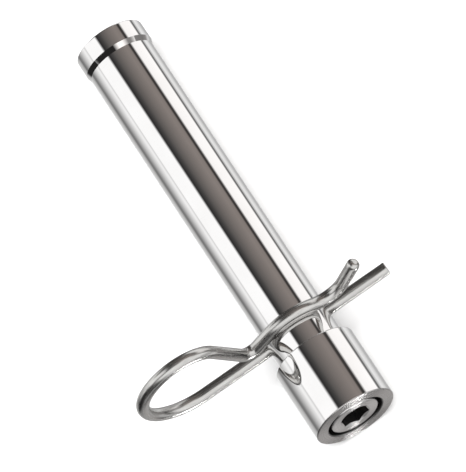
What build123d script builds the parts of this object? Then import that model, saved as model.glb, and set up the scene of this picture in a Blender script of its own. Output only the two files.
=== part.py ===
from build123d import *
import os
from math import cos, radians, sin, tan

# A hitch pin lock: a plain round pin with a head at one end, a lock collar held on the other end
# by a socket-head screw, and a hairpin clip through a cross hole beside the collar.
# +X runs along the pin from the head to the collar, +Y along the clip's straight leg to its tip,
# and +Z up to the side where the clip's bent leg lies. The origin is on the pin's axis, where the
# full-size shank starts under the head.

# ---- driving dimensions, in millimetres ----

# pin
shank_d = 15.875
shank_len = 72.6
# the real pin has one diameter; this step only ends the wall that the shank mount states
tail_d = 15.83
tail_blend = 1.0
head_d = 16.75
head_len = 4.45
head_cone = 1.3
head_bevel = 0.35
pin_end_chamfer = 0.8

# cross hole for the clip
clip_hole_x = 76.2
clip_hole_d = 3.7
clip_hole_bevel = 0.3

# lock collar, measured along +X from its back rim
collar_gap = 6.95
collar_d = 19.5
collar_len = 17.7
collar_bevel = 0.3
socket_depth = 4.6
collar_clearance = 0.05
web = 3.0
counterbore_d = 13.6
screw_clearance_d = 8.3

# lock screw, a 5/16-18 socket-head cap screw half an inch long
screw_d = 7.94
screw_len = 12.7
screw_head_d = 11.9
screw_head_len = 7.94
screw_head_bevel = 0.45
screw_point = 0.8
hex_across = 6.35
hex_depth = 4.2
hex_mouth = 0.25
hex_mouth_r = 3.75
tap_clearance = 0.05
tap_floor = 0.25
tap_mouth = 0.5
tap_drill_d = 6.6
drill_point = 135

# split lock washer under the screw's head
washer_od = 11.7
washer_id = 8.1
washer_thick = 1.98
washer_split = 0.8
washer_slant = 30

# hairpin clip: round wire, bent in the plane across the pin's axis
wire_d = 3.0
leg_tip_y = 23.8
seat_gap = 0.03
seat_left = 120.3
seat_right = 53.4
left_run = 5.3
left_neck_r = 2.6
rise_heading = 110
crown_r = 8.9
crown_turn = 80
loop_r = 12.1
right_run = 0.8
right_neck_r = 6.0
flare_heading = 49
flare_run = 7.8
leg_tip_bevel = 0.15
flare_tip_round = 1.2

# ---- places worked out from them ----
shank_r = shank_d / 2
tail_r = tail_d / 2
head_r = head_d / 2
collar_back_x = clip_hole_x + collar_gap
collar_face_x = collar_back_x + collar_len
pin_end_x = collar_back_x + socket_depth
web_face_x = pin_end_x + web
screw_seat_x = web_face_x + washer_thick
screw_tip_x = screw_seat_x - screw_len
screw_top_x = screw_seat_x + screw_head_len

os.makedirs("parts", exist_ok=True)

# ---- pin: head, shank, cross hole and tapped end, turned from one bar ----
tap_r = screw_d / 2 + tap_clearance
tap_end_x = screw_tip_x - tap_floor
head_back_x = -head_cone
head_face_x = head_back_x - head_len
tail_start_x = shank_len + tail_blend
drill_r = tap_drill_d / 2
drill_tip_x = tap_end_x - drill_r / tan(radians(drill_point / 2))

with BuildPart() as hitch_pin:
    with BuildSketch(Plane.XY):
        with BuildLine():
            Polyline(
                (head_face_x, 0),
                (head_face_x, head_r - head_bevel),
                (head_face_x + head_bevel, head_r),
                (head_back_x, head_r),
                (0, shank_r),
                (shank_len, shank_r),
                (tail_start_x, tail_r),
                (pin_end_x - pin_end_chamfer, tail_r),
                (pin_end_x, tail_r - pin_end_chamfer),
                (pin_end_x, tap_r + tap_mouth),
                (pin_end_x - tap_mouth, tap_r),
                (tap_end_x, tap_r),
                (tap_end_x, drill_r),
                (drill_tip_x, 0),
                (head_face_x, 0),
            )
        make_face()
    revolve(axis=Axis.X)
    with BuildSketch(Plane.XZ.offset(-shank_d)):
        with Locations((clip_hole_x, 0)):
            Circle(clip_hole_d / 2)
    extrude(amount=2 * shank_d, mode=Mode.SUBTRACT)
    hole_mouths = hitch_pin.edges().filter_by(GeomType.BSPLINE)
    chamfer(hole_mouths, clip_hole_bevel)
hitch_pin.part.label = "hitch_pin"
export_step(hitch_pin.part, "parts/hitch_pin.step")

# ---- lock collar: a cup over the pin's end, with a counterbore for the screw's head ----
socket_r = tail_r + collar_clearance
collar_r = collar_d / 2

with BuildPart() as lock_collar:
    with BuildSketch(Plane.XY):
        with BuildLine():
            Polyline(
                (collar_back_x, socket_r + collar_bevel),
                (collar_back_x, collar_r - collar_bevel),
                (collar_back_x + collar_bevel, collar_r),
                (collar_face_x - collar_bevel, collar_r),
                (collar_face_x, collar_r - collar_bevel),
                (collar_face_x, counterbore_d / 2 + collar_bevel),
                (collar_face_x - collar_bevel, counterbore_d / 2),
                (web_face_x, counterbore_d / 2),
                (web_face_x, screw_clearance_d / 2),
                (pin_end_x, screw_clearance_d / 2),
                (pin_end_x, socket_r),
                (collar_back_x + collar_bevel, socket_r),
                (collar_back_x, socket_r + collar_bevel),
            )
        make_face()
    revolve(axis=Axis.X)
lock_collar.part.label = "lock_collar"
export_step(lock_collar.part, "parts/lock_collar.step")

# ---- lock screw, with a hexagon socket whose corners point along Z ----
screw_r = screw_d / 2
screw_head_r = screw_head_d / 2
hex_floor_x = screw_top_x - hex_depth
hex_point_x = hex_floor_x - hex_across / 2 * tan(radians(90 - drill_point / 2))

with BuildPart() as lock_screw:
    with BuildSketch(Plane.XY):
        with BuildLine():
            Polyline(
                (screw_tip_x, 0),
                (screw_tip_x, screw_r - screw_point),
                (screw_tip_x + screw_point, screw_r),
                (screw_seat_x, screw_r),
                (screw_seat_x, screw_head_r),
                (screw_top_x - screw_head_bevel, screw_head_r),
                (screw_top_x, screw_head_r - screw_head_bevel),
                (screw_top_x, hex_mouth_r),
                (screw_top_x - hex_mouth, hex_mouth_r - hex_mouth),
                (screw_top_x - hex_mouth, 0),
                (screw_tip_x, 0),
            )
        make_face()
    revolve(axis=Axis.X)
    with BuildSketch(Plane.YZ.offset(hex_floor_x)):
        RegularPolygon(hex_across / 2, 6, major_radius=False, rotation=30)
    extrude(amount=hex_depth, mode=Mode.SUBTRACT)
    with BuildSketch(Plane.XY):
        with BuildLine():
            Polyline(
                (hex_point_x, 0),
                (hex_floor_x, hex_across / 2),
                (hex_floor_x + hex_mouth, hex_across / 2),
                (hex_floor_x + hex_mouth, 0),
                (hex_point_x, 0),
            )
        make_face()
    revolve(axis=Axis.X, mode=Mode.SUBTRACT)
lock_screw.part.label = "lock_screw"
export_step(lock_screw.part, "parts/lock_screw.step")

# ---- lock washer: a spring ring with one slanted cut, pressed flat under the screw's head ----
with BuildPart() as lock_washer:
    with BuildSketch(Plane.YZ.offset(web_face_x)):
        Circle(washer_od / 2)
        Circle(washer_id / 2, mode=Mode.SUBTRACT)
    extrude(amount=washer_thick)
    with BuildSketch(Plane.XY.offset(washer_id / 4)):
        with Locations(((web_face_x + screw_seat_x) / 2, 0)):
            Rectangle(2 * washer_thick, washer_split, rotation=washer_slant)
    extrude(amount=washer_od, mode=Mode.SUBTRACT)
lock_washer.part.label = "lock_washer"
export_step(lock_washer.part, "parts/lock_washer.step")

# ---- hairpin clip: one length of spring wire, bent in the plane of the cross hole ----
wire_r = wire_d / 2
seat_r = shank_r + wire_r + seat_gap
seat_heading = seat_left + 90
loop_heading = rise_heading + crown_turn


def climb(radius, heading_in, heading_out):
    """Rise in Z of an arc that turns left from one heading to another, in degrees."""
    return radius * (cos(radians(heading_in)) - cos(radians(heading_out)))


# the straight run up to the crown is as long as brings the wire back to the hole's level
seat_end_z = seat_r * sin(radians(seat_left)) + left_run * sin(radians(seat_heading))
neck_end_z = seat_end_z - climb(left_neck_r, seat_heading, rise_heading)
loop_top_z = -climb(crown_r, rise_heading, loop_heading) - climb(loop_r, loop_heading, 360)
rise_run = (loop_top_z - neck_end_z) / sin(radians(rise_heading))

with BuildPart() as hairpin_clip:
    with BuildLine(Plane.YZ.offset(clip_hole_x)):
        seat = CenterArc((0, 0), seat_r, seat_right, seat_left - seat_right)
        left = PolarLine(seat @ 1, left_run, direction=seat % 1)
        left_neck = JernArc(left @ 1, left % 1, left_neck_r, rise_heading - seat_heading)
        rise = PolarLine(left_neck @ 1, rise_run, direction=left_neck % 1)
        crown = JernArc(rise @ 1, rise % 1, crown_r, crown_turn)
        loop = JernArc(crown @ 1, crown % 1, loop_r, 360 - loop_heading)
        leg = Line(loop @ 1, (leg_tip_y, 0))
        right = PolarLine(seat @ 0, right_run, direction=-(seat % 0))
        right_neck = JernArc(
            right @ 1, right % 1, right_neck_r, flare_heading - (seat_right - 90)
        )
        flare = PolarLine(right_neck @ 1, flare_run, direction=right_neck % 1)
    with BuildSketch(Plane.XZ.offset(-leg_tip_y)):
        with Locations((clip_hole_x, 0)):
            Circle(wire_r)
    sweep()
    ends = hairpin_clip.faces().filter_by(GeomType.PLANE)
    chamfer(ends.sort_by(Axis.Z)[0].edges(), leg_tip_bevel)
    ends = hairpin_clip.faces().filter_by(GeomType.PLANE)
    fillet(ends.sort_by(Axis.Z)[-1].edges(), flare_tip_round)
hairpin_clip.part.label = "hairpin_clip"
export_step(hairpin_clip.part, "parts/hairpin_clip.step")
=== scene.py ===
from math import asin, atan2, cos, pi, radians, sin, sqrt, tan

import bpy
from mathutils import Matrix, Vector


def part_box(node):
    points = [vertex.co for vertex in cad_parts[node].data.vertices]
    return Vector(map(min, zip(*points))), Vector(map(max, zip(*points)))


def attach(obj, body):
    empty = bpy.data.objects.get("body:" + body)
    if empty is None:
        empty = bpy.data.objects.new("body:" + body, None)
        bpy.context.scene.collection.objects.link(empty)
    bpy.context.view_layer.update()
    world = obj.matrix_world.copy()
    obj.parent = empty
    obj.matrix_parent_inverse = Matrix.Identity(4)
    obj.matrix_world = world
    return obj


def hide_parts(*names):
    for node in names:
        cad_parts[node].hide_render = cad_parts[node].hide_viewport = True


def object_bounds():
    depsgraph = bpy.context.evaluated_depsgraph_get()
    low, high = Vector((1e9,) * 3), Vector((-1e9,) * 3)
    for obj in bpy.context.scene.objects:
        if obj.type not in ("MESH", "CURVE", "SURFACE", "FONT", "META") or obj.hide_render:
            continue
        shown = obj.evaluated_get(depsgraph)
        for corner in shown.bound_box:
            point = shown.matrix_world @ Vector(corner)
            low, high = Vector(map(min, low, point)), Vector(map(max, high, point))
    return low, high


# The looks of a hitch pin lock: a mirror-polished pin with a low head, a lock collar on its other
# end, a hexagon-socket screw with a split washer that holds the collar, and a hairpin clip of
# satin wire. Shapes are worked out in millimetres, in the frame's axes: +X along the pin towards
# the collar, +Y along the clip's straight leg, +Z up. Turned shapes are outlines of (x, r).

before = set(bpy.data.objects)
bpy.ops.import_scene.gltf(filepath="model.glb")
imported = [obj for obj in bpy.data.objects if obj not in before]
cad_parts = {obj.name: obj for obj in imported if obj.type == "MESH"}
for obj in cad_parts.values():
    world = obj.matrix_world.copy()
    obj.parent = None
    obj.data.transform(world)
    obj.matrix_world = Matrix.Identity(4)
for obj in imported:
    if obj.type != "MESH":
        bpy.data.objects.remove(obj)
cad_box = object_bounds()
MM = 0.001


def box_mm(node):
    low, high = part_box(node)
    return low / MM, high / MM


# ---- sizes, in millimetres, read from the frame where it has them ----
pin_low, pin_high = box_mm("hitch_pin")
collar_low, collar_high = box_mm("lock_collar")
screw_low, screw_high = box_mm("lock_screw")
washer_low, washer_high = box_mm("lock_washer")
clip_low, clip_high = box_mm("hairpin_clip")

shank_r = 15.875 / 2
# the real pin has one diameter; the CAD model's small step is followed here
tail_r = 15.83 / 2
shank_end_x = 72.6
tail_start_x = 73.6
head_back_x = -1.3
head_bevel = 0.35
pin_end_chamfer = 0.8
hole_x = (clip_low.x + clip_high.x) / 2
hole_r = 1.85
hole_round = 0.3
patch_gap = 0.05  # between the tail's start and the meshed patch round the cross hole

socket_r = tail_r + 0.05
counterbore_r = 6.8
screw_clearance_r = 4.15

screw_r = 3.94
screw_seat_x = washer_high.x
screw_point = 0.8
hex_across = 6.35
hex_depth = 4.2
hex_mouth_r = 3.75
point_angle = radians(135)
wire_r = 1.5
leg_bevel = 0.15
flare_round = 1.2
seat_gap = 0.03
washer_inner_r = 4.05
washer_split = 0.8
washer_slant = radians(30)
thread_pitch = 25.4 / 18
thread_depth = 0.61 * thread_pitch
tapped_r = 4.0
tapped_crest_r = 3.35
tapped_end_x = screw_low.x - 0.25
tap_mouth = 0.5
tap_lead = 0.6  # where the internal thread starts, back from the pin's end
drill_r = 3.3

TURN = 144  # steps round a turned piece, a multiple of 6 so that hexagon corners fall on steps
ARC_STEP = radians(15)


# ---- meshes with exact normals, so that mirror reflections run straight ----
class Shell:
    """A mesh in the making: its points, and each face's corners, corner normals and finish."""

    def __init__(self):
        self.points = []
        self.faces = []
        self.normals = []
        self.finishes = []
        self.uvs = []

    def ring(self, points):
        """Adds points, in millimetres, and gives their numbers."""
        first = len(self.points)
        self.points += [Vector(p) * MM for p in points]
        return list(range(first, len(self.points)))

    def face(self, corners, normals, finish=0, uv=None):
        self.faces.append(corners)
        self.normals += [tuple(n) for n in normals]
        self.finishes.append(finish)
        self.uvs += uv or [(0.0, 0.0)] * len(corners)

    def flat(self, corners, finish=0):
        """A flat face, with its normal from its own corners."""
        a, b, c = (self.points[corners[i * len(corners) // 3]] for i in range(3))
        self.face(corners, [(b - a).cross(c - a).normalized()] * len(corners), finish)

    def band(self, a, b, normals_a, normals_b, finish=0, uv=None):
        """Faces between two closed rings of as many points."""
        for i in range(len(a)):
            j = (i + 1) % len(a)
            corners = [a[i], b[i], b[j], a[j]]
            normals = [normals_a[i], normals_b[i], normals_b[j], normals_a[j]]
            self.face(corners, normals, finish, uv and uv(i))

    def build(self, name, finishes):
        used = sorted({corner for face in self.faces for corner in face})
        number = {old: new for new, old in enumerate(used)}
        mesh = bpy.data.meshes.new(name)
        faces = [[number[corner] for corner in face] for face in self.faces]
        mesh.from_pydata([self.points[old] for old in used], [], faces)
        mesh.polygons.foreach_set("use_smooth", [True] * len(self.faces))
        mesh.polygons.foreach_set("material_index", self.finishes)
        layer = mesh.uv_layers.new(name="along")
        layer.data.foreach_set("uv", [value for uv in self.uvs for value in uv])
        mesh.normals_split_custom_set(self.normals)
        for finish in finishes:
            mesh.materials.append(finish)
        piece = bpy.data.objects.new(name, mesh)
        bpy.context.scene.collection.objects.link(piece)
        return piece


def about(turn, along, out):
    """A point or direction with a share along X and a share away from X, turned from +Z to +Y."""
    return Vector((along, out * sin(turn), out * cos(turn)))


def steps_round():
    return [2 * pi * i / TURN for i in range(TURN)]


def side_of(run):
    """The direction out of the metal beside a run of an outline."""
    return Vector((-run.y, run.x))


def rounded(start, before, after, radius):
    """Places and normals round one corner of an outline, which may be convex or concave."""
    convex = before.x * after.y < before.y * after.x
    bulge = radius if convex else -radius
    centre = start - before * bulge
    steps = max(2, round(before.angle(after) / ARC_STEP))
    normals = [before.slerp(after, k / steps) for k in range(steps + 1)]
    return [(centre + n * bulge, n) for n in normals]


def strokes(corners):
    """An outline as strokes of (place, normal) with a finish: straight runs and rounded corners.

    Each corner is (x, r, rounding radius, finish of the run that leaves it). The metal lies on the
    right of the outline's direction."""
    places = [Vector(c[:2]) for c in corners]
    runs = [(b - a).normalized() for a, b in zip(places, places[1:])]
    starts, ends = [places[0]], []
    for before, after, place, corner in zip(runs, runs[1:], places[1:], corners[1:]):
        trim = corner[2] * tan(before.angle(after) / 2)
        ends.append(place - before * trim)
        starts.append(place + after * trim)
    ends.append(places[-1])
    found = []
    for i, run in enumerate(runs):
        found.append(([(starts[i], side_of(run)), (ends[i], side_of(run))], corners[i][3]))
        if i + 1 < len(runs) and corners[i + 1][2] > 0:
            arc = rounded(ends[i], side_of(run), side_of(runs[i + 1]), corners[i + 1][2])
            found.append((arc, corners[i + 1][3]))
    return found


def turn_outline(shell, corners, ring=None):
    """Turns an outline about X, from a ring already there if given, and gives its last ring."""
    angles = steps_round()
    closed = corners[0][:2] == corners[-1][:2]
    ring = ring or shell.ring([about(t, *corners[0][:2]) for t in angles])
    first = ring
    found = strokes(corners)
    for stroke, finish in found:
        for (_, normal_a), (place_b, normal_b) in zip(stroke, stroke[1:]):
            last = closed and stroke is found[-1][0]
            ahead = first if last else shell.ring([about(t, *place_b) for t in angles])
            normals_a = [about(t, *normal_a) for t in angles]
            normals_b = [about(t, *normal_b) for t in angles]
            shell.band(ring, ahead, normals_a, normals_b, finish)
            ring = ahead
    return ring


def pole(shell, ring, x, normal, finish, opening):
    """Closes a ring with a fan to a point on the axis; opening says that the ring leaves it."""
    tip = shell.ring([(x, 0, 0)])[0]
    angles = steps_round()
    for i, t in enumerate(angles):
        j = (i + 1) % TURN
        n_i, n_j = about(t, *normal), about(angles[j], *normal)
        middle = about(t + pi / TURN, *normal)
        if opening:
            shell.face([tip, ring[i], ring[j]], [middle, n_i, n_j], finish)
        else:
            shell.face([tip, ring[j], ring[i]], [middle, n_j, n_i], finish)


# ---- threads ----
def thread_share(x, turn):
    """0 on the crest and 1 in the root of the right-hand thread that screw and pin share."""
    place = (x / thread_pitch + turn / (2 * pi)) % 1
    from_crest = 2 * abs(place - 0.5)
    crest_flat, root_flat = 0.12, 0.2
    return min(1, max(0, (from_crest - crest_flat) / (1 - crest_flat - root_flat)))


def threaded_wall(shell, x_from, x_to, radius, inward, finish, ring):
    """A wall whose radius follows radius(x, turn), with normals from its slope; gives its last ring."""
    per_pitch = 14
    count = max(2, round(abs(x_to - x_from) / thread_pitch * per_pitch))
    angles = steps_round()
    slope_step = 0.02

    def normal(x, t):
        r = radius(x, t)
        along = (radius(x + slope_step, t) - radius(x - slope_step, t)) / (2 * slope_step)
        turned = (radius(x, t + slope_step) - radius(x, t - slope_step)) / (2 * slope_step * r)
        out = Vector((-along, 0, 0)) + about(t, 0, 1) - about(t + pi / 2, 0, 1) * turned
        return out.normalized() * (-1 if inward else 1)

    normals = [normal(x_from, t) for t in angles]
    for k in range(1, count + 1):
        x = x_from + (x_to - x_from) * k / count
        ahead = shell.ring([about(t, x, radius(x, t)) for t in angles])
        normals_ahead = [normal(x, t) for t in angles]
        shell.band(ring, ahead, normals, normals_ahead, finish)
        ring, normals = ahead, normals_ahead
    return ring


# ---- the pin ----
def hole_mouth(shell, side, rim, finish):
    """The wall patch, rounded mouth and edge of the cross hole on one side (+1 or -1) of the pin.

    rim is the patch's outer edge, as (point number, x, z) in order of angle about the hole. Gives
    the ring where the mouth meets the bore."""
    across = [atan2(z, x - hole_x) for _, x, z in rim]

    def wall_point(reach_x, z):
        return (hole_x + reach_x, side * sqrt(tail_r**2 - z**2), z)

    def wall_normal(z):
        return Vector((0, side * sqrt(1 - (z / tail_r) ** 2), z / tail_r))

    def face_out(a, b, normals_a, normals_b, finish):
        if side > 0:
            shell.band(a, b, normals_a, normals_b, finish)
        else:
            shell.band(a[::-1], b[::-1], normals_a[::-1], normals_b[::-1], finish)

    ring = [number for number, _, _ in rim]
    normals = [wall_normal(z) for _, _, z in rim]
    mouth_r = hole_r + hole_round
    rings_between = 4
    for k in range(1, rings_between + 1):
        inward = k / rings_between
        spots = []
        for (_, x, z), a in zip(rim, across):
            reach_x = (x - hole_x) * (1 - inward) + mouth_r * cos(a) * inward
            spots.append((reach_x, z * (1 - inward) + mouth_r * sin(a) * inward))
        ahead = shell.ring([wall_point(*spot) for spot in spots])
        normals_ahead = [wall_normal(z) for _, z in spots]
        face_out(ring, ahead, normals, normals_ahead, finish)
        ring, normals = ahead, normals_ahead
    round_steps = 5
    for k in range(1, round_steps + 1):
        lean = pi / 2 * k / round_steps
        reach = hole_r + hole_round * (1 - sin(lean))
        sink = hole_round * (1 - cos(lean))
        points, normals_ahead = [], []
        for a in across:
            x, y, z = wall_point(reach * cos(a), reach * sin(a))
            points.append((x, y - side * sink, z))
            to_axis = Vector((-cos(a), 0, -sin(a)))
            normals_ahead.append((wall_normal(z) * cos(lean) + to_axis * sin(lean)).normalized())
        ahead = shell.ring(points)
        face_out(ring, ahead, normals, normals_ahead, finish)
        ring, normals = ahead, normals_ahead
    return ring, normals


def cross_hole(shell, ring, x_from, x_to, finish):
    """The tail's wall from x_from to x_to with the clip's cross hole through it; gives its last ring."""
    half = TURN // 16  # steps of the turn on each side of a mouth's middle
    along = 10
    angles = steps_round()
    wall = [about(t, 0, 1) for t in angles]
    rings = [ring]
    for k in range(1, along + 1):
        x = x_from + (x_to - x_from) * k / along
        rings.append(shell.ring([about(t, x, tail_r) for t in angles]))
    middles = {1: TURN // 4, -1: 3 * TURN // 4}
    for a, b in zip(rings, rings[1:]):
        for i in range(TURN):
            if all(not m - half <= i < m + half for m in middles.values()):
                j = (i + 1) % TURN
                corners = [a[i], b[i], b[j], a[j]]
                shell.face(corners, [wall[i], wall[i], wall[j], wall[j]], finish)
    bores = {}
    for side, middle in middles.items():
        edge = [(k, middle - half) for k in range(along)]
        edge += [(along, middle + i) for i in range(-half, half)]
        edge += [(along - k, middle + half) for k in range(along)]
        edge += [(0, middle + half - i) for i in range(2 * half)]
        rim = []
        for k, i in edge:
            x = x_from + (x_to - x_from) * k / along
            rim.append((rings[k][i], x, tail_r * cos(angles[i])))
        rim.sort(key=lambda spot: atan2(spot[2], spot[1] - hole_x))
        bores[side] = hole_mouth(shell, side, rim, finish)
    (near, normals), (far, normals_far) = bores[1], bores[-1]
    shell.band(near, far, normals, normals_far, finish)
    return rings[-1]


def make_pin(polished, turned):
    shell = Shell()
    hub_r = pin_high.z / 2
    ring = shell.ring([about(t, pin_low.x, hub_r) for t in steps_round()])
    pole(shell, ring, pin_low.x, (-1, 0), 1, True)
    patch = (tail_start_x + patch_gap, 2 * hole_x - tail_start_x - patch_gap)
    before_hole = [
        (pin_low.x, hub_r, 0, 1),
        (pin_low.x, pin_high.z, head_bevel, 0),
        (head_back_x, pin_high.z, 0.12, 0),
        (0, shank_r, 0.1, 0),
        (shank_end_x, shank_r, 0, 0),
        (tail_start_x, tail_r, 0, 0),
        (patch[0], tail_r, 0, 0),
    ]
    ring = turn_outline(shell, before_hole, ring)
    ring = cross_hole(shell, ring, *patch, 0)
    end = pin_high.x
    after_hole = [
        (patch[1], tail_r, 0, 0),
        (end - pin_end_chamfer, tail_r, 0.1, 1),
        (end, tail_r - pin_end_chamfer, 0.1, 1),
        (end, tapped_r + tap_mouth, 0.05, 1),
        (end - tap_mouth, tapped_r, 0, 1),
        (end - tap_lead, tapped_r, 0, 1),
    ]
    ring = turn_outline(shell, after_hole, ring)

    def tapped(x, turn):
        cut = tapped_r - thread_share(x, turn) * thread_depth
        entry = tapped_r - (end - tap_lead - x)
        return max(cut, tapped_crest_r, entry)

    ring = threaded_wall(shell, end - tap_lead, tapped_end_x, tapped, True, 1, ring)
    drill_tip = tapped_end_x - drill_r / tan(point_angle / 2)
    floor = [(tapped_end_x, drill_r, 0, 1), (drill_tip + 0.05, 0.05 * tan(point_angle / 2), 0, 1)]
    ring = turn_outline(shell, floor, ring)
    pole(shell, ring, drill_tip, (sin(point_angle / 2), -cos(point_angle / 2)), 1, False)
    return shell.build("pin", [polished, turned])


# ---- the lock collar ----
def make_collar(polished, turned, bored):
    shell = Shell()
    back, front = collar_low.x, collar_high.x
    end, web_x = pin_high.x, washer_low.x
    outline = [
        (back, (socket_r + collar_high.z) / 2, 0, 1),
        (back, collar_high.z, 0.3, 0),
        (front, collar_high.z, 0.32, 1),
        (front, counterbore_r, 0.3, 2),
        (web_x, counterbore_r, 0.2, 2),
        (web_x, screw_clearance_r, 0.1, 2),
        (end, screw_clearance_r, 0.1, 2),
        (end, socket_r, 0.15, 2),
        (back, socket_r, 0.3, 1),
        (back, (socket_r + collar_high.z) / 2, 0, 1),
    ]
    turn_outline(shell, outline)
    return shell.build("collar", [polished, turned, bored])


# ---- the lock screw ----
def make_screw(satin, turned, threaded, shaded_socket):
    shell = Shell()
    tip, seat, top = screw_low.x, screw_seat_x, screw_high.x
    tip_r = screw_r - screw_point

    def cut(x, turn):
        fade = min(1, max(0, (seat - 0.35 - x) / thread_pitch))
        depth = thread_share(x, turn) * thread_depth * fade
        return min(screw_r - depth, tip_r + 0.1 + (x - tip - 0.1))

    ring = shell.ring([about(t, tip, tip_r / 2) for t in steps_round()])
    pole(shell, ring, tip, (-1, 0), 2, True)
    start = [(tip, tip_r / 2, 0, 2), (tip, tip_r, 0.1, 2), (tip + 0.1, tip_r + 0.1, 0, 2)]
    ring = turn_outline(shell, start, ring)
    ring = threaded_wall(shell, tip + 0.1, seat - 0.3, cut, False, 2, ring)
    head = [
        (seat - 0.3, screw_r, 0, 2),
        (seat, screw_r, 0.15, 0),
        (seat, screw_high.z, 0.2, 0),
        (top, screw_high.z, 0.4, 1),
        (top, hex_mouth_r, 0, 1),
    ]
    ring = turn_outline(shell, head, ring)
    angles = steps_round()
    side = TURN // 6
    middles = [2 * pi * (i // side + 0.5) / 6 for i in range(TURN)]
    reach = [hex_across / 2 / cos(t - m) for t, m in zip(angles, middles)]
    lean = radians(30)  # the mouth is countersunk, 120 degrees across
    sink = [(hex_mouth_r - r) * tan(lean) for r in reach]
    mouth = shell.ring([about(t, top - s, r) for t, s, r in zip(angles, sink, reach)])
    cone = [about(t, cos(lean), -sin(lean)) for t in angles]
    shell.band(ring, mouth, cone, cone, 1)
    floor_x = top - hex_depth
    foot = shell.ring([about(t, floor_x, r) for t, r in zip(angles, reach)])
    for i in range(TURN):
        j = (i + 1) % TURN
        inward = -about(middles[i], 0, 1)
        shell.face([mouth[i], foot[i], foot[j], mouth[j]], [inward] * 4, 3)
    bottom = shell.ring([about(t, floor_x, hex_across / 2 - 0.05) for t in angles])
    facing = [Vector((1, 0, 0))] * TURN
    shell.band(foot, bottom, facing, facing, 3)
    drilled = floor_x - (hex_across / 2) / tan(point_angle / 2)
    pole(shell, bottom, drilled, (sin(point_angle / 2), -cos(point_angle / 2)), 3, False)
    return shell.build("screw", [satin, turned, threaded, shaded_socket])


# ---- the split washer ----
def make_washer(spring):
    shell = Shell()
    inner, outer = washer_inner_r, washer_high.z
    low, high = washer_low.x, washer_high.x
    middle = (low + high) / 2
    corners = [
        (low, (inner + outer) / 2, 0, 0),
        (low, outer, 0.25, 0),
        (high, outer, 0.25, 0),
        (high, inner, 0.2, 0),
        (low, inner, 0.2, 0),
        (low, (inner + outer) / 2, 0, 0),
    ]
    outline = [spot for stroke, _ in strokes(corners) for spot in stroke[:-1]]
    half_gap = washer_split / 2 / cos(washer_slant)
    steps = 120

    def place(spot, share):
        (x, r), _ = spot
        lean = (x - middle) * tan(washer_slant)
        first, last = asin((lean + half_gap) / r), 2 * pi + asin((lean - half_gap) / r)
        turn = first + (last - first) * share
        return about(turn, x, r), turn

    rings, normals = [], []
    for k in range(steps + 1):
        placed = [place(spot, k / steps) for spot in outline]
        rings.append(shell.ring([p for p, _ in placed]))
        normals.append([about(t, *n) for (_, t), (_, n) in zip(placed, outline)])
    for k in range(steps):
        shell.band(rings[k + 1], rings[k], normals[k + 1], normals[k], 0)
    shell.flat(rings[0][::-1])
    shell.flat(rings[-1])
    return shell.build("washer", [spring])


# ---- the hairpin clip ----
def trace(start, heading, moves):
    """Spots (y, z, heading) of a wire bent move by move: a length, or (radius, turn in degrees)."""
    y, z = start
    spots = [(y, z, heading)]
    for move in moves:
        if isinstance(move, tuple):
            radius, turn = move
            way = 1 if turn > 0 else -1
            steps = max(2, round(abs(turn) / 4))
            centre_y = y - way * radius * sin(radians(heading))
            centre_z = z + way * radius * cos(radians(heading))
            for k in range(1, steps + 1):
                now = heading + turn * k / steps
                spots.append((
                    centre_y + way * radius * sin(radians(now)),
                    centre_z - way * radius * cos(radians(now)),
                    now,
                ))
            heading += turn
        else:
            steps = max(1, round(move / 1.5))
            for k in range(1, steps + 1):
                gone = move * k / steps
                spots.append((
                    y + gone * cos(radians(heading)), z + gone * sin(radians(heading)), heading
                ))
        y, z = spots[-1][:2]
    return spots


def clip_spots():
    """The clip's centreline from the flared tip to the straight leg's tip."""
    seat_r = shank_r + wire_r + seat_gap
    seat_left, seat_right = 120.3, 53.4
    left_run, left_neck_r, rise_heading = 5.3, 2.6, 110
    crown_r, crown_turn, loop_r = 8.9, 80, 12.1
    right_run, right_neck_r, flare_heading, flare_run = 0.8, 6.0, 49, 7.8
    seat_heading, loop_heading = seat_left + 90, rise_heading + crown_turn

    def climb(radius, heading_in, heading_out):
        return radius * (cos(radians(heading_in)) - cos(radians(heading_out)))

    def on_seat(degrees):
        return seat_r * cos(radians(degrees)), seat_r * sin(radians(degrees))

    neck_end_z = on_seat(seat_left)[1] + left_run * sin(radians(seat_heading))
    neck_end_z -= climb(left_neck_r, seat_heading, rise_heading)
    loop_top_z = -climb(crown_r, rise_heading, loop_heading) - climb(loop_r, loop_heading, 360)
    rise_run = (loop_top_z - neck_end_z) / sin(radians(rise_heading))
    flare = trace(on_seat(seat_right), seat_right - 90, [
        right_run, (right_neck_r, flare_heading - seat_right + 90), flare_run,
    ])
    loop = trace(on_seat(seat_right), seat_right + 90, [
        (seat_r, seat_left - seat_right),
        left_run,
        (left_neck_r, rise_heading - seat_heading),
        rise_run,
        (crown_r, crown_turn),
        (loop_r, 360 - loop_heading),
    ])
    leg = trace(loop[-1][:2], 0, [clip_high.y - loop[-1][0]])
    back = [(y, z, heading + 180) for y, z, heading in flare[:0:-1]]
    return back + loop + leg[1:]


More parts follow.
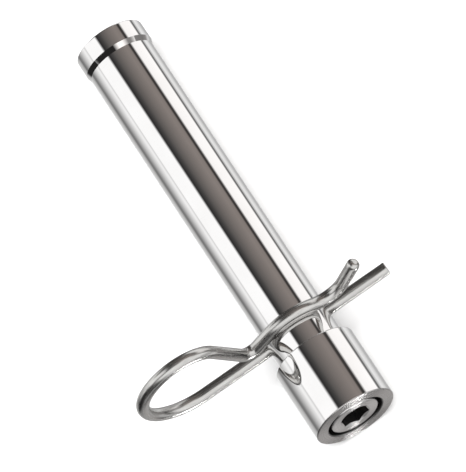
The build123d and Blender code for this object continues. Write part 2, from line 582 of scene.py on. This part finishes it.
def make_clip(wire):
    """A round wire along the clip's centreline, with a rounded flared tip and a square-cut leg."""
    shell = Shell()
    steps = 40
    angles = [2 * pi * k / steps for k in range(steps)]
    spots = clip_spots()
    rings, places = [], []
    gone = 0

    def ring_at(y, z, heading, radius, ahead):
        h = radians(heading)
        y, z = y + ahead * cos(h), z + ahead * sin(h)
        side, across = Vector((0, -sin(h), cos(h))), Vector((1, 0, 0))
        out = [side * cos(a) + across * sin(a) for a in angles]
        centre = Vector((hole_x, y, z))
        return shell.ring([centre + n * radius for n in out]), out, Vector((0, cos(h), sin(h)))

    def add(y, z, heading, radius, ahead, lean):
        """One ring whose normals lean along the wire by an angle."""
        numbers, out, forward = ring_at(y, z, heading, radius, ahead)
        rings.append((numbers, [n * cos(lean) + forward * sin(lean) for n in out]))
        places.append(gone + ahead)

    y, z, heading = spots[0]
    for k in range(6):
        lean = pi / 2 * (1 - k / 6)
        add(y, z, heading, wire_r - flare_round * (1 - cos(lean)), flare_round * (1 - sin(lean)), -lean)
    for k, (y, z, heading) in enumerate(spots):
        if k:
            gone += sqrt((y - spots[k - 1][0]) ** 2 + (z - spots[k - 1][1]) ** 2)
        if gone > flare_round:
            trimmed = leg_bevel if k == len(spots) - 1 else 0
            add(y, z, heading, wire_r, -trimmed, 0)
    y, z, heading = spots[-1]
    for lean in (0.4, 0.8, 1.2, pi / 2):
        add(y, z, heading, wire_r - leg_bevel * (1 - cos(lean)), -leg_bevel * (1 - sin(lean)), lean)

    for (a, normals_a), (b, normals_b), here, there in zip(rings, rings[1:], places, places[1:]):
        def uv(i, here=here, there=there):
            near, far = i / steps, (i + 1) / steps
            return [(near, here), (near, there), (far, there), (far, here)]

        # rings run the other way about the wire than a turned outline's, so they are reversed
        shell.band(a[::-1], b[::-1], normals_a[::-1], normals_b[::-1], 0, uv)
    shell.flat(rings[0][0][::-1])
    shell.flat(rings[-1][0])
    return shell.build("clip", [wire])


# ---- materials ----
class Graph:
    """Short calls for a node tree."""

    def __init__(self, tree):
        self.tree = tree
        tree.nodes.clear()

    def node(self, kind, inputs=None, **settings):
        made = self.tree.nodes.new(kind)
        for key, value in settings.items():
            setattr(made, key, value)
        for key, value in (inputs or {}).items():
            if isinstance(value, bpy.types.NodeSocket):
                self.tree.links.new(value, made.inputs[key])
            else:
                made.inputs[key].default_value = value
        return made

    def math(self, operation, a, b=0.0):
        return self.node("ShaderNodeMath", {0: a, 1: b}, operation=operation).outputs[0]

    def millimetres(self, scale=(1, 1, 1)):
        """The place on the piece in millimetres, stretched by a scale along each axis."""
        place = self.node("ShaderNodeTexCoord").outputs["Object"]
        stretched = tuple(share / MM for share in scale)
        mapped = self.node("ShaderNodeMapping", {"Vector": place, "Scale": stretched})
        return mapped.outputs[0]

    def noise(self, vector, scale, detail=2.0, roughness=0.5):
        inputs = {"Vector": vector, "Scale": scale, "Detail": detail, "Roughness": roughness}
        return self.node("ShaderNodeTexNoise", inputs).outputs["Fac"]

    def spread(self, value, low, high):
        """A noise value, which stays near 0.5, spread out between low and high."""
        inputs = {"Value": value, "From Min": 0.3, "From Max": 0.7, "To Min": low, "To Max": high}
        return self.node("ShaderNodeMapRange", inputs).outputs[0]

    def ramp(self, value, stops):
        made = self.node("ShaderNodeValToRGB", {"Fac": value})
        elements = made.color_ramp.elements
        while len(elements) < len(stops):
            elements.new(0.5)
        for element, (place, colour) in zip(elements, stops):
            element.position = place
            element.color = (*colour, 1)
        return made.outputs["Color"]

    def bump(self, height, strength, distance):
        inputs = {"Height": height, "Strength": strength, "Distance": distance}
        return self.node("ShaderNodeBump", inputs).outputs[0]


def grey(level, warmth=0.0):
    return (level * (1 + 2 * warmth), level, level * (1 - warmth))


def metal(name, graph_of, anisotropic=0.0, rotation=0.0):
    """A metal whose colour, roughness and bump come from graph_of(graph)."""
    material = bpy.data.materials.new(name)
    material.use_nodes = True
    graph = Graph(material.node_tree)
    colour, roughness, normal = graph_of(graph)
    inputs = {
        "Base Color": colour,
        "Roughness": roughness,
        "Normal": normal,
        "Metallic": 1.0,
        "Anisotropic": anisotropic,
        "Anisotropic Rotation": rotation,
    }
    shader = graph.node("ShaderNodeBsdfPrincipled", inputs)
    if anisotropic:
        tangent = graph.node("ShaderNodeTangent", direction_type="RADIAL", axis="X")
        graph.tree.links.new(tangent.outputs[0], shader.inputs["Tangent"])
    graph.node("ShaderNodeOutputMaterial", {"Surface": shader.outputs[0]})
    return material


def polished_steel():
    """Mirror polish with faint marks round the bar, a little haze and hairline scratches."""

    def graph_of(g):
        haze = g.noise(g.millimetres((0.12, 0.2, 0.2)), 1.0, 3)
        marks = g.noise(g.millimetres((22, 0.9, 0.9)), 1.0, 3, 0.6)
        scratches = g.noise(g.millimetres((1.2, 14, 14)), 1.0, 2)
        shade = g.math("ADD", g.math("MULTIPLY", haze, 0.6), g.math("MULTIPLY", marks, 0.4))
        colour = g.ramp(shade, [(0.3, grey(0.80, 0.006)), (0.7, grey(0.86, 0.003))])
        wear = g.math("MULTIPLY", haze, scratches)
        roughness = g.spread(g.math("MULTIPLY", wear, 2.0), 0.02, 0.05)
        return colour, roughness, g.bump(marks, 0.06, 0.000004)

    return metal("polished_steel", graph_of)


def turned_steel():
    """A faced end: fine rings about the axis that spread light across them."""

    def graph_of(g):
        place = g.millimetres((0, 1, 1))
        reach = g.node("ShaderNodeVectorMath", {0: place}, operation="LENGTH").outputs["Value"]
        rings = g.noise(reach, 9.0, 4, 0.75)
        cloud = g.noise(g.millimetres((0.5, 0.5, 0.5)), 1.0, 3)
        colour = g.ramp(rings, [(0.3, grey(0.46, 0.015)), (0.7, grey(0.62, 0.01))])
        roughness = g.spread(g.math("MULTIPLY", g.math("ADD", rings, cloud), 0.5), 0.22, 0.32)
        return colour, roughness, g.bump(rings, 0.25, 0.00002)

    return metal("turned_steel", graph_of, 0.95, 0.25)


def bored_steel_shaded():
    """The collar's bores: coarser tool marks round the wall and duller than the outside, with a dark
    colour that is painted shade inside the bores.
    """

    def graph_of(g):
        marks = g.noise(g.millimetres((9, 0.3, 0.3)), 1.0, 3, 0.7)
        cloud = g.noise(g.millimetres((0.4, 0.4, 0.4)), 1.0, 2)
        # the dark colour is painted shade inside the collar's bores; the marks and roughness are the
        # tool's
        colour = g.ramp(cloud, [(0.3, grey(0.2, 0.01)), (0.7, grey(0.3, 0.005))])
        return colour, g.spread(marks, 0.26, 0.42), g.bump(marks, 0.3, 0.00002)

    return metal("bored_steel_shaded", graph_of)


def screw_steel():
    """The screw's head and socket: satin, with a fine grain."""

    def graph_of(g):
        grain = g.noise(g.millimetres((8, 2, 2)), 1.0, 4, 0.6)
        cloud = g.noise(g.millimetres((0.6, 0.6, 0.6)), 1.0, 3)
        colour = g.ramp(cloud, [(0.3, grey(0.6, 0.01)), (0.7, grey(0.72, 0.006))])
        return colour, g.spread(grain, 0.16, 0.28), g.bump(grain, 0.12, 0.00001)

    return metal("screw_steel", graph_of)


def screw_face_steel():
    """The top of the screw's head: faced bright, with fine rings."""

    def graph_of(g):
        place = g.millimetres((0, 1, 1))
        reach = g.node("ShaderNodeVectorMath", {0: place}, operation="LENGTH").outputs["Value"]
        rings = g.noise(reach, 12.0, 3, 0.7)
        colour = g.ramp(rings, [(0.3, grey(0.62, 0.01)), (0.7, grey(0.76, 0.006))])
        return colour, g.spread(rings, 0.2, 0.3), g.bump(rings, 0.15, 0.00001)

    return metal("screw_face_steel", graph_of, 0.9, 0.25)


def socket_painted_shade():
    """Inside the socket: a near-black colour that is painted shade deep in the socket, with faint lines
    along its flats.
    """

    def graph_of(g):
        lines = g.noise(g.millimetres((0.6, 7, 7)), 1.0, 3, 0.6)
        # the near-black colour is painted shade for the depth of the socket; the lines are the broach's
        # marks
        colour = g.ramp(lines, [(0.3, grey(0.10, 0.02)), (0.7, grey(0.17, 0.01))])
        return colour, g.spread(lines, 0.3, 0.45), g.bump(lines, 0.2, 0.00001)

    return metal("socket_painted_shade", graph_of)


def thread_steel():
    """Rolled threads: smooth and slightly darker, with marks that run round with the thread."""

    def graph_of(g):
        marks = g.noise(g.millimetres((10, 1, 1)), 1.0, 3)
        colour = g.ramp(marks, [(0.3, grey(0.5, 0.01)), (0.7, grey(0.6, 0.006))])
        return colour, g.spread(marks, 0.2, 0.32), g.bump(marks, 0.1, 0.00001)

    return metal("thread_steel", graph_of)


def washer_steel():
    """Spring steel left as it was rolled: darker, with a mottled oxide."""

    def graph_of(g):
        mottle = g.noise(g.millimetres(), 1.3, 4, 0.6)
        grain = g.noise(g.millimetres((4, 4, 4)), 1.0, 3)
        colour = g.ramp(mottle, [(0.3, grey(0.34, 0.02)), (0.7, grey(0.5, 0.012))])
        return colour, g.spread(grain, 0.3, 0.46), g.bump(grain, 0.2, 0.00001)

    return metal("washer_steel", graph_of)


def clip_wire():
    """Drawn spring wire: satin, with die lines along its length and a faint olive cast."""

    def graph_of(g):
        along = g.node("ShaderNodeUVMap", uv_map="along").outputs[0]
        stretched = g.node("ShaderNodeMapping", {"Vector": along, "Scale": (42, 0.16, 1)}).outputs[0]
        lines = g.noise(stretched, 1.0, 4, 0.65)
        cloud = g.noise(g.millimetres((0.3, 0.3, 0.3)), 1.0, 3)
        shade = g.math("ADD", g.math("MULTIPLY", lines, 0.6), g.math("MULTIPLY", cloud, 0.4))
        low, high = (0.53, 0.523, 0.508), (0.67, 0.663, 0.648)
        colour = g.ramp(shade, [(0.3, low), (0.7, high)])
        return colour, g.spread(lines, 0.2, 0.3), g.bump(lines, 0.1, 0.00001)

    return metal("clip_wire", graph_of)


# ---- studio: what the metal reflects, the floor, the light and the camera ----
# The light tent is told by the direction a reflection comes from. Each strip gives the brightness
# round the pin's axis, as degrees from straight up towards +Y, a level and a warmth. The levels were
# set until the bands on the shank, collar and head matched the photo's.
# The dark stretch is the gap that the camera looks through.
WHITE = 1.16
TENT_BEHIND = [  # the strip that lies towards the pin's head, which the long cylinders mirror
    (-180, 0.78, 0), (-168, 0.88, 0), (-152, 0.7, 0), (-136, 0.6, 0), (-127, 0.42, 0),
    (-121, 0.2, 0), (-114, 0.24, 0), (-102, 0.52, 0), (-80, 1.06, 0), (-76, 0.95, 0),
    (-73, 0.76, 0), (-69, WHITE, 0), (-26, WHITE, 0), (-22, 0.3, 0), (-19.5, 0.025, 0),
    (-8, 0.07, 0.02), (0, 0.115, 0.04), (16, 0.175, 0.06), (40, 0.245, 0.07), (51, 0.23, 0.07),
    (55.5, 0.04, 0.05), (61, 0.05, 0.03), (67, 1.1, 0.01), (103, WHITE, 0.01), (107.5, 0.2, 0),
    (111.5, 0.1, 0), (115, 0.5, 0), (124, 0.95, 0), (136, 0.82, 0), (150, 0.52, 0),
    (162, 0.5, 0), (180, 0.64, 0),
]
TENT_MIDDLE = [  # a narrow strip over the pin, seen in the cone under the head
    (-180, 0.5, 0), (-145, 0.4, 0), (-135, 0.02, 0), (8, 0.02, 0.02), (24, 1.3, 0.02),
    (40, 1.2, 0.02), (56, 0.26, 0.02), (112, 0.2, 0.02), (130, 0.3, 0.02), (180, 0.5, 0),
]
TENT_AHEAD = [  # past the collar: bright above, dark to one side, a grey table below
    (-180, 0.55, 0.02), (-160, 0.5, 0.01), (-144, 0.3, 0.01), (-130, 0.06, 0.02),
    (-58, 0.06, 0.02), (-48, WHITE, 0), (100, WHITE, 0), (106, 0.5, 0), (126, 0.6, 0),
    (140, 0.5, 0.01), (180, 0.55, 0.02),
]
TENT_FAR_AHEAD = [  # further along, where the table ends in the dark
    (-180, 0.06, 0), (-150, 0.1, 0), (-138, 0.35, 0), (-112, 0.3, 0), (-104, 0.05, 0),
    (-60, 0.07, 0.02), (-50, WHITE, 0), (28, WHITE, 0), (33, 0.5, 0), (38, WHITE, 0),
    (96, WHITE, 0), (101, 0.2, 0), (108, 0.14, 0), (113, 0.6, 0), (135, 0.75, 0),
    (150, 0.3, 0), (162, 0.06, 0), (180, 0.06, 0),
]
TENT_FAR_BEHIND = [  # beyond the head: windows on both sides, dark above and below
    (-180, 0.08, 0), (-171, 0.1, 0), (-158, 0.7, 0), (-135, 0.8, 0), (-118, 0.4, 0),
    (-104, 0.5, 0), (-94, WHITE, 0), (-58, WHITE, 0), (-52, 0.08, 0.02), (-8, 0.06, 0.02),
    (44, 0.16, 0.06), (50, 0.05, 0), (56, 0.1, 0), (61, WHITE, 0), (100, WHITE, 0),
    (106, 0.12, 0), (112, 0.16, 0), (118, 0.7, 0), (140, 0.55, 0), (156, 0.25, 0),
    (180, 0.08, 0),
]
GLINT_WAY = Vector((0.772, 0.042, -0.634))  # a small lamp ahead, drawn out by the turned faces
GLINT = 28


def tent_strip(g, share, strip):
    """One strip as a colour ramp; its ends meet where the strip closes round the axis."""
    stops = [((degrees + 180) / 360, grey(level, warmth)) for degrees, level, warmth in strip]
    return g.ramp(share, stops)


def smooth_step(g, value, low, high):
    inputs = {"Value": value, "From Min": low, "From Max": high}
    return g.node("ShaderNodeMapRange", inputs, interpolation_type="SMOOTHSTEP").outputs[0]


def blend(g, share, a, b):
    return g.node("ShaderNodeMix", {0: share, 6: a, 7: b}, data_type="RGBA").outputs[2]


def light_tent():
    """World light that depends on direction only, so the same tent is seen from every side."""
    world = bpy.data.worlds.new("light_tent")
    bpy.context.scene.world = world
    world.use_nodes = True
    g = Graph(world.node_tree)
    direction = g.node("ShaderNodeTexCoord").outputs["Generated"]
    parts = g.node("ShaderNodeSeparateXYZ", {0: direction}).outputs
    angle = g.math("ARCTAN2", parts["Y"], parts["Z"])
    share = g.math("ADD", g.math("DIVIDE", angle, 2 * pi), 0.5)
    behind = tent_strip(g, share, TENT_BEHIND)
    middle = tent_strip(g, share, TENT_MIDDLE)
    ahead = tent_strip(g, share, TENT_AHEAD)
    far_ahead = tent_strip(g, share, TENT_FAR_AHEAD)
    far_behind = tent_strip(g, share, TENT_FAR_BEHIND)
    x = parts["X"]
    dark = (*grey(0.07, 0.03), 1)
    tent = blend(g, smooth_step(g, x, -0.97, -0.91), dark, far_behind)
    tent = blend(g, smooth_step(g, x, -0.62, -0.5), tent, behind)
    # the middle strip is wider low on both sides than it is overhead
    degrees = g.math("MULTIPLY", angle, 180 / pi)
    low_right = smooth_step(g, degrees, 80, 88)
    low_left = g.math("SUBTRACT", 1.0, smooth_step(g, degrees, -72, -64))
    wider = g.math("MULTIPLY", g.math("ADD", low_right, low_left), 0.24)
    tent = blend(g, smooth_step(g, g.math("ADD", x, wider), 0.08, 0.16), tent, middle)
    tent = blend(g, smooth_step(g, x, 0.28, 0.38), tent, ahead)
    tent = blend(g, smooth_step(g, x, 0.48, 0.6), tent, far_ahead)
    tent = blend(g, smooth_step(g, x, 0.9, 0.97), tent, (*grey(0.9), 1))
    toward = g.node("ShaderNodeVectorMath", {0: direction, 1: GLINT_WAY}, operation="DOT_PRODUCT")
    glint = smooth_step(g, toward.outputs["Value"], cos(radians(6)), cos(radians(3)))
    tent = blend(g, glint, tent, (GLINT, GLINT, GLINT, 1))
    seen = g.node("ShaderNodeLightPath").outputs["Is Camera Ray"]
    shown = blend(g, seen, tent, (1, 1, 1, 1))
    background = g.node("ShaderNodeBackground", {"Color": shown, "Strength": 1.0})
    g.node("ShaderNodeOutputWorld", {"Surface": background.outputs[0]})


def floor_material():
    material = bpy.data.materials.new("pale_floor")
    material.use_nodes = True
    g = Graph(material.node_tree)
    cloud = g.noise(g.millimetres((0.02, 0.02, 0.02)), 1.0, 3)
    colour = g.ramp(cloud, [(0.3, grey(0.88)), (0.7, grey(0.9))])
    inputs = {"Base Color": colour, "Roughness": 0.9, "Specular IOR Level": 0.1}
    shader = g.node("ShaderNodeBsdfPrincipled", inputs)
    g.node("ShaderNodeOutputMaterial", {"Surface": shader.outputs[0]})
    return material


def make_floor():
    """A round pale floor at the object's lowest point, left out of the metal's reflections."""
    reach, steps = 3.0, 96
    centre = (cad_box[0] + cad_box[1]) / 2
    mesh = bpy.data.meshes.new("floor")
    points = []
    for k in range(steps):
        turn = 2 * pi * k / steps
        points.append((centre.x + reach * cos(turn), centre.y + reach * sin(turn), cad_box[0].z))
    mesh.from_pydata(points, [], [list(range(steps))])
    mesh.materials.append(floor_material())
    floor = bpy.data.objects.new("floor", mesh)
    bpy.context.scene.collection.objects.link(floor)
    floor.visible_glossy = False


def soft_light(name, place, size, power, in_reflections):
    lamp = bpy.data.lights.new(name, "AREA")
    lamp.shape = "DISK"
    lamp.size = size
    lamp.energy = power
    light = bpy.data.objects.new(name, lamp)
    bpy.context.scene.collection.objects.link(light)
    light.location = place
    target = (cad_box[0] + cad_box[1]) / 2
    light.rotation_euler = (target - light.location).to_track_quat("-Z", "Y").to_euler()
    light.visible_glossy = in_reflections


def make_camera():
    """A long lens, 3 m away, above the collar's end of the pin and turned about its own axis."""
    tilt, lean, roll = radians(21.9), radians(4.0), radians(33.39)
    distance, focal_pixels, long_side = 3.0, 13587, 472
    to_camera = Vector((sin(tilt), sin(lean) * cos(tilt), cos(lean) * cos(tilt)))
    level = Vector((0, cos(lean), -sin(lean)))
    level = (level - to_camera * to_camera.dot(level)).normalized()
    above = to_camera.cross(level)
    right = level * cos(roll) - above * sin(roll)
    up = level * sin(roll) + above * cos(roll)
    aim = Vector((0.0476, 0, 0)) + right * 0.000265 - up * 0.001568
    camera = bpy.data.objects.new("camera", bpy.data.cameras.new("camera"))
    bpy.context.scene.collection.objects.link(camera)
    camera.data.sensor_width = 36
    camera.data.lens = 36 * focal_pixels / long_side
    camera.data.clip_end = 20
    turned = [list(axis) for axis in zip(right, up, to_camera)]
    camera.matrix_world = Matrix(turned).to_4x4()
    camera.location = aim + to_camera * distance
    bpy.context.scene.camera = camera


# ---- putting it together ----
polished = polished_steel()
turned = turned_steel()
pieces = [
    (make_pin(polished, turned), "pin", "hitch_pin", "polished_steel"),
    (make_collar(polished, turned, bored_steel_shaded()), "collar", "lock_collar", "collar_steel"),
    (make_washer(washer_steel()), "collar", "lock_washer", "washer_steel"),
    (make_screw(screw_steel(), screw_face_steel(), thread_steel(), socket_painted_shade()), "screw",
     "lock_screw", "screw_steel"),
    (make_clip(clip_wire()), "clip", "hairpin_clip", "clip_wire"),
]
for piece, body, node, slot in pieces:
    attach(piece, body)
    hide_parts(node)

light_tent()
make_floor()
soft_light("overhead", Vector((0.05, 0.0, 1.6)), 1.6, 40, False)
make_camera()
bpy.context.scene.view_settings.view_transform = "Standard"
